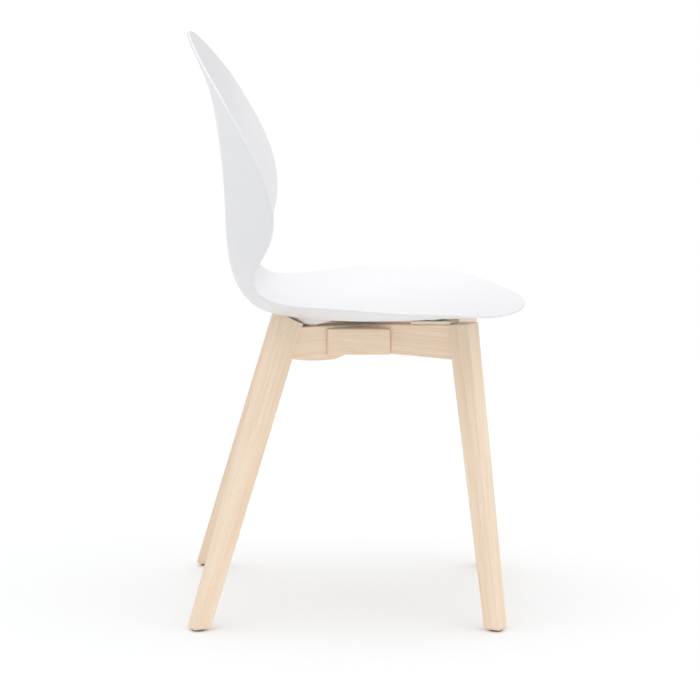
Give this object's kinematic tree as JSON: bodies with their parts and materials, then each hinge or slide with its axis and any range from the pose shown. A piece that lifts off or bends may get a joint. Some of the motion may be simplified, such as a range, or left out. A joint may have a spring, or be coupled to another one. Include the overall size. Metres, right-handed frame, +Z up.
{
  "type": "dining chair",
  "caption": "Dining chair with a moulded leaf-shaped seat-and-back shell on splayed wooden legs joined by a crossed-beam base.",
  "frame": {"origin": "centre of the chair's bounding box on the floor plane", "axes": "+Z up, the chair faces -Y, symmetric about X = 0"},
  "size_m": [0.5132, 0.4963, 0.8446],
  "materials": {
    "shell_plastic": "satin matte moulded polypropylene, white",
    "bleached_wood": "bleached beech, fine straight grain, matt clear lacquer",
    "dowel_wood": "plain beech dowel, unfinished",
    "pad_plastic": "off-white moulded plastic",
    "glide_plastic": "grey-brown moulded plastic",
    "zinc_steel": "bright zinc-plated steel",
    "insert_brass": "turned brass"
  },
  "bodies": {
    "root": {"seat_shell": "shell_plastic", "beam_front_right": "bleached_wood", "beam_front_left": "bleached_wood", "corner_block_right": "bleached_wood", "block_dowel_right_1": "dowel_wood", "block_dowel_right_2": "dowel_wood", "corner_block_left": "bleached_wood", "block_dowel_left_1": "dowel_wood", "block_dowel_left_2": "dowel_wood", "leg_front_right": "bleached_wood", "leg_dowel_front_right_1": "dowel_wood", "leg_dowel_front_right_2": "dowel_wood", "glide_front_right": "glide_plastic", "glide_nail_front_right": "zinc_steel", "pad_front_right": "pad_plastic", "washer_front_right": "zinc_steel", "shell_screw_front_right": "zinc_steel", "shell_insert_front_right": "insert_brass", "leg_front_left": "bleached_wood", "leg_dowel_front_left_1": "dowel_wood", "leg_dowel_front_left_2": "dowel_wood", "glide_front_left": "glide_plastic", "glide_nail_front_left": "zinc_steel", "pad_front_left": "pad_plastic", "washer_front_left": "zinc_steel", "shell_screw_front_left": "zinc_steel", "shell_insert_front_left": "insert_brass", "leg_rear_right": "bleached_wood", "leg_dowel_rear_right_1": "dowel_wood", "leg_dowel_rear_right_2": "dowel_wood", "glide_rear_right": "glide_plastic", "glide_nail_rear_right": "zinc_steel", "pad_rear_right": "pad_plastic", "washer_rear_right": "zinc_steel", "shell_screw_rear_right": "zinc_steel", "shell_insert_rear_right": "insert_brass", "leg_rear_left": "bleached_wood", "leg_dowel_rear_left_1": "dowel_wood", "leg_dowel_rear_left_2": "dowel_wood", "glide_rear_left": "glide_plastic", "glide_nail_rear_left": "zinc_steel", "pad_rear_left": "pad_plastic", "washer_rear_left": "zinc_steel", "shell_screw_rear_left": "zinc_steel", "shell_insert_rear_left": "insert_brass", "lap_screw": "zinc_steel"}
  },
  "joints": []
}
